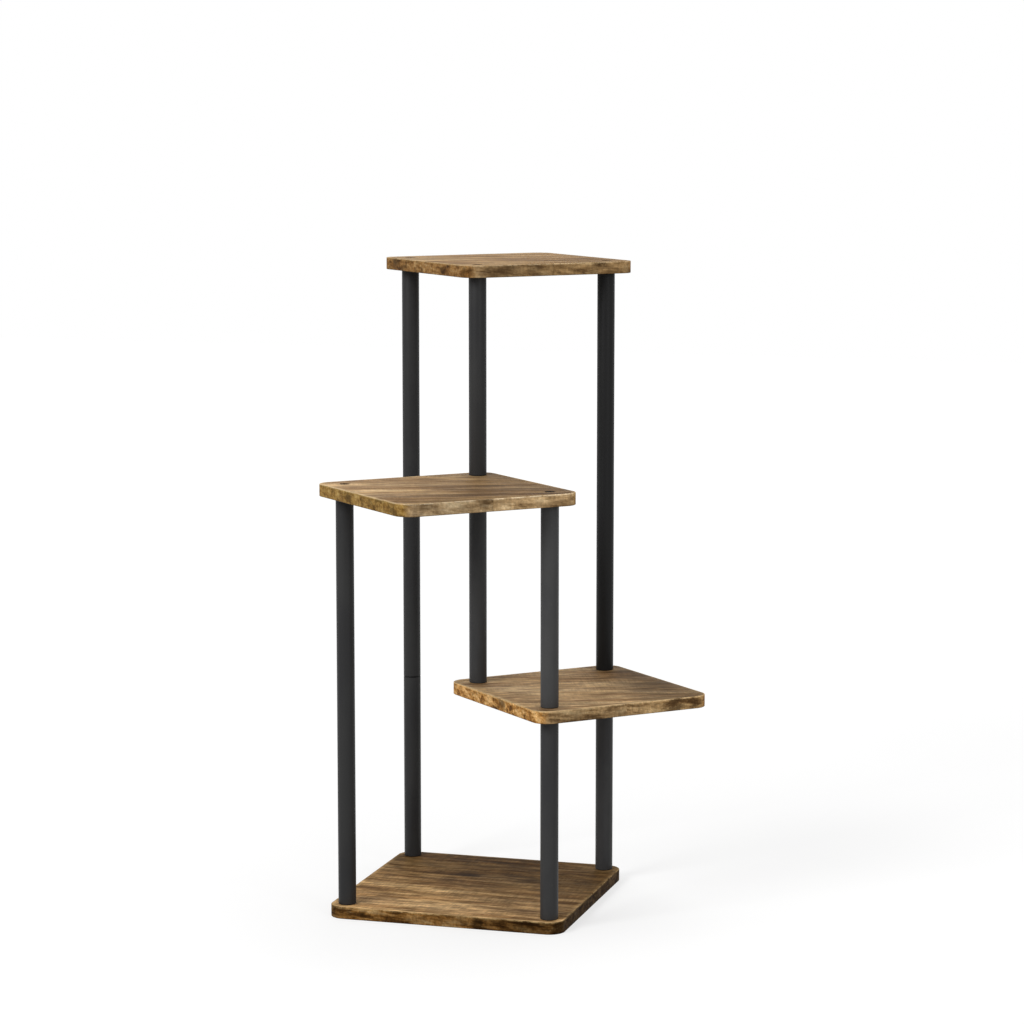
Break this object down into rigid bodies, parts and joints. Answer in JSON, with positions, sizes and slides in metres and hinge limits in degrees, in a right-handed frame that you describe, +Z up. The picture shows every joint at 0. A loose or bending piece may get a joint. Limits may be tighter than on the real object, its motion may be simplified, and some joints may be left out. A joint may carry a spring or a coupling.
{
  "type": "tiered plant stand",
  "caption": "Tall plant stand: square base board, round black steel tube posts and smaller square wood shelves that climb in a pinwheel round a centre post.",
  "frame": {"origin": "middle of the base board's underside, on the floor", "axes": "+Z up. +X to the right, towards the lower shelf's free corner. +Y to the back, towards the top shelf's free corner."},
  "size_m": [0.4526, 0.5826, 0.801],
  "materials": {
    "wood_board": "rustic greyish brown wood print on a laminated board, satin",
    "edge_band": "thin edge banding with the same print in a warmer brown, satin",
    "black_tube": "satin black powder coat on round steel tube",
    "black_bolt": "black oxide steel, low sheen",
    "zinc_steel": "zinc plated turned steel"
  },
  "bodies": {
    "root": {"base_board": "wood_board", "base_board_bolt_back_left": "black_bolt", "base_board_bolt_back_right": "black_bolt", "base_board_bolt_front_left": "black_bolt", "base_board_bolt_front_right": "black_bolt", "base_board_edge_band": "edge_band", "lower_shelf": "wood_board", "lower_shelf_bolt_centre": "black_bolt", "lower_shelf_edge_band": "edge_band", "lower_shelf_stud_back_right": "zinc_steel", "lower_shelf_stud_front_right": "zinc_steel", "middle_shelf": "wood_board", "middle_shelf_bolt_front_left": "black_bolt", "middle_shelf_bolt_front_right": "black_bolt", "middle_shelf_edge_band": "edge_band", "middle_shelf_stud_centre": "zinc_steel", "post_back_left_lower": "black_tube", "post_back_left_lower_bottom_plug": "zinc_steel", "post_back_left_lower_top_plug": "zinc_steel", "post_back_left_splice_stud": "zinc_steel", "post_back_left_upper": "black_tube", "post_back_left_upper_bottom_plug": "zinc_steel", "post_back_left_upper_top_plug": "zinc_steel", "post_back_right_lower": "black_tube", "post_back_right_lower_bottom_plug": "zinc_steel", "post_back_right_lower_top_plug": "zinc_steel", "post_back_right_upper": "black_tube", "post_back_right_upper_bottom_plug": "zinc_steel", "post_back_right_upper_top_plug": "zinc_steel", "post_centre_lower": "black_tube", "post_centre_lower_bottom_plug": "zinc_steel", "post_centre_lower_top_plug": "zinc_steel", "post_centre_upper": "black_tube", "post_centre_upper_bottom_plug": "zinc_steel", "post_centre_upper_top_plug": "zinc_steel", "post_front_left": "black_tube", "post_front_left_bottom_plug": "zinc_steel", "post_front_left_top_plug": "zinc_steel", "post_front_right_lower": "black_tube", "post_front_right_lower_bottom_plug": "zinc_steel", "post_front_right_lower_top_plug": "zinc_steel", "post_front_right_upper": "black_tube", "post_front_right_upper_bottom_plug": "zinc_steel", "post_front_right_upper_top_plug": "zinc_steel", "top_shelf": "wood_board", "top_shelf_bolt_back_left": "black_bolt", "top_shelf_bolt_back_right": "black_bolt", "top_shelf_bolt_centre": "black_bolt", "top_shelf_edge_band": "edge_band"}
  },
  "joints": []
}
